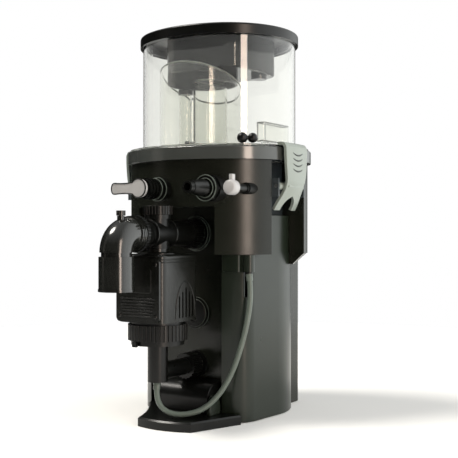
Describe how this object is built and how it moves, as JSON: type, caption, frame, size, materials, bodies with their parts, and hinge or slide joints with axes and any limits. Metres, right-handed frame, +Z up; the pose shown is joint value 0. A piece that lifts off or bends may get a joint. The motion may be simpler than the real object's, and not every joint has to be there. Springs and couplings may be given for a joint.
{
  "type": "protein skimmer",
  "caption": "Free-standing protein skimmer: oval tank with a clear lidded collection cup, latches, valve row, side pump with tee and swivel elbow, and an air hose.",
  "frame": {"origin": "on the floor under the middle of the cup", "axes": "+Z up, -Y towards the pump and the pipe fittings, +X to the right seen from the pump side"},
  "size_m": [0.2758, 0.3697, 0.519],
  "materials": {
    "smoke_shell": "satin moulded, dark smoke",
    "cover_green": "satin moulded, green-grey",
    "black_plastic": "fine moulded, black",
    "gloss_pipe": "polished, dark grey",
    "pump_shell": "fine moulded, dark grey",
    "clear_acrylic": "clear, polished",
    "smoke_acrylic": "dark smoke, polished",
    "grey_ring": "polished smoke grey",
    "latch_grey": "satin moulded, grey-green",
    "bracket_blue": "fine moulded",
    "light_grey": "satin moulded",
    "hose_silicone": "smooth silicone",
    "pad_rubber": "matt",
    "pin_steel": "ground",
    "ceramic": "polished ceramic",
    "rotor_plastic": "fine moulded",
    "vessel_plastic": "fine moulded, dark"
  },
  "bodies": {
    "root": {"air_hose": "hose_silicone", "air_silencer": "cover_green", "air_valve_body": "black_plastic", "barb_nut": "black_plastic", "bubble_plate": "clear_acrylic", "collar_ring": "grey_ring", "cone_adapter": "black_plastic", "drain_housing": "black_plastic", "foot_pads": "pad_rubber", "head_aprons": "smoke_shell", "head_housing": "smoke_shell", "hose_barb": "black_plastic", "hose_nipples": "black_plastic", "impeller_shaft": "ceramic", "latch_brackets": "bracket_blue", "latch_pins": "pin_steel", "mid_port_plug": "black_plastic", "motor_core": "rotor_plastic", "outlet_flange": "black_plastic", "outlet_pipe": "black_plastic", "plinth": "black_plastic", "pump_front_cover": "pump_shell", "pump_housing": "pump_shell", "reaction_tube": "clear_acrylic", "rear_spine": "smoke_shell", "recess_panel": "smoke_shell", "shaft_bush": "pad_rubber", "side_cover_left": "cover_green", "side_cover_right": "cover_green", "suction_flange": "black_plastic", "suction_pipe": "black_plastic", "tee": "black_plastic", "valve_body": "black_plastic", "vessel": "vessel_plastic", "volute": "black_plastic"},
    "cup": {"cup_wall": "clear_acrylic", "cup_floor": "clear_acrylic", "riser_tube": "clear_acrylic", "inner_tube": "clear_acrylic", "standpipe": "clear_acrylic", "standpipe_cap": "black_plastic", "cup_pocket": "clear_acrylic", "drain_tap": "black_plastic"},
    "lid": {"lid": "black_plastic", "lid_box": "smoke_acrylic"},
    "drain_knob": {"drain_knob": "black_plastic"},
    "latch_right": {"latch_right": "latch_grey"},
    "latch_left": {"latch_left": "latch_grey"},
    "valve_lever": {"valve_lever": "light_grey"},
    "air_valve_knob": {"air_valve_knob": "light_grey"},
    "tee_cap": {"tee_cap": "black_plastic"},
    "outlet_union": {"outlet_union": "black_plastic"},
    "suction_union": {"suction_union": "black_plastic"},
    "lock_ring": {"lock_ring": "black_plastic"},
    "elbow": {"elbow": "gloss_pipe"},
    "elbow_sleeve": {"elbow_sleeve": "gloss_pipe"},
    "thumb_screw": {"thumb_screw": "gloss_pipe"},
    "pump_lock_ring": {"pump_lock_ring": "black_plastic"},
    "impeller": {"magnet_rotor": "rotor_plastic", "needle_wheel": "rotor_plastic"}
  },
  "joints": [
    {"name": "cup_lift", "type": "slide", "parent": "root", "child": "cup", "axis": [0, 0, 1], "range_m": [0, 0.2]},
    {"name": "lid_lift", "type": "slide", "parent": "cup", "child": "lid", "axis": [0, 0, 1], "range_m": [0, 0.08]},
    {"name": "drain_turn", "type": "hinge", "parent": "cup", "child": "drain_knob", "pos_m": [0.08724, -0.07481, 0.368], "axis": [0.7193, 0.6947, 0], "range_deg": [0, 90]},
    {"name": "latch_right_swing", "type": "hinge", "parent": "root", "child": "latch_right", "pos_m": [0.122, -0.015, 0.306], "axis": [0, 1, 0], "range_deg": [0, 22]},
    {"name": "latch_left_swing", "type": "hinge", "parent": "root", "child": "latch_left", "pos_m": [-0.122, -0.015, 0.306], "axis": [0, -1, 0], "range_deg": [0, 22]},
    {"name": "valve_turn", "type": "hinge", "parent": "root", "child": "valve_lever", "pos_m": [-0.013, -0.15, 0.302], "axis": [0, 1, 0], "range_deg": [0, 90]},
    {"name": "air_valve_turn", "type": "hinge", "parent": "root", "child": "air_valve_knob", "pos_m": [0.098, -0.118, 0.302], "axis": [0, 1, 0], "range_deg": [-90, 90]},
    {"name": "tee_cap_turn", "type": "hinge", "parent": "root", "child": "tee_cap", "pos_m": [0.006, -0.148, 0.268], "axis": [0, 0, 1], "continuous": true},
    {"name": "outlet_union_turn", "type": "hinge", "parent": "root", "child": "outlet_union", "pos_m": [0.006, -0.079, 0.244], "axis": [0, 1, 0], "continuous": true},
    {"name": "suction_union_turn", "type": "hinge", "parent": "root", "child": "suction_union", "pos_m": [0.006, -0.08, 0.068], "axis": [0, 1, 0], "continuous": true},
    {"name": "lock_ring_turn", "type": "hinge", "parent": "root", "child": "lock_ring", "pos_m": [0.006, -0.193, 0.244], "axis": [0, 1, 0], "continuous": true},
    {"name": "elbow_swivel", "type": "hinge", "parent": "root", "child": "elbow", "pos_m": [0.006, -0.205, 0.244], "axis": [0, 1, 0], "range_deg": [-90, 90]},
    {"name": "sleeve_slide", "type": "slide", "parent": "elbow", "child": "elbow_sleeve", "axis": [0, 0, -1], "range_m": [0, 0.015]},
    {"name": "thumb_screw_turn", "type": "hinge", "parent": "elbow", "child": "thumb_screw", "pos_m": [0.006, -0.22, 0.27], "axis": [0, 0, 1], "continuous": true},
    {"name": "pump_lock_turn", "type": "hinge", "parent": "root", "child": "pump_lock_ring", "pos_m": [0.006, -0.148, 0.12], "axis": [0, 0, 1], "range_deg": [0, 30]},
    {"name": "impeller_spin", "type": "hinge", "parent": "root", "child": "impeller", "pos_m": [0.006, -0.148, 0.13], "axis": [0, 0, 1], "continuous": true}
  ]
}
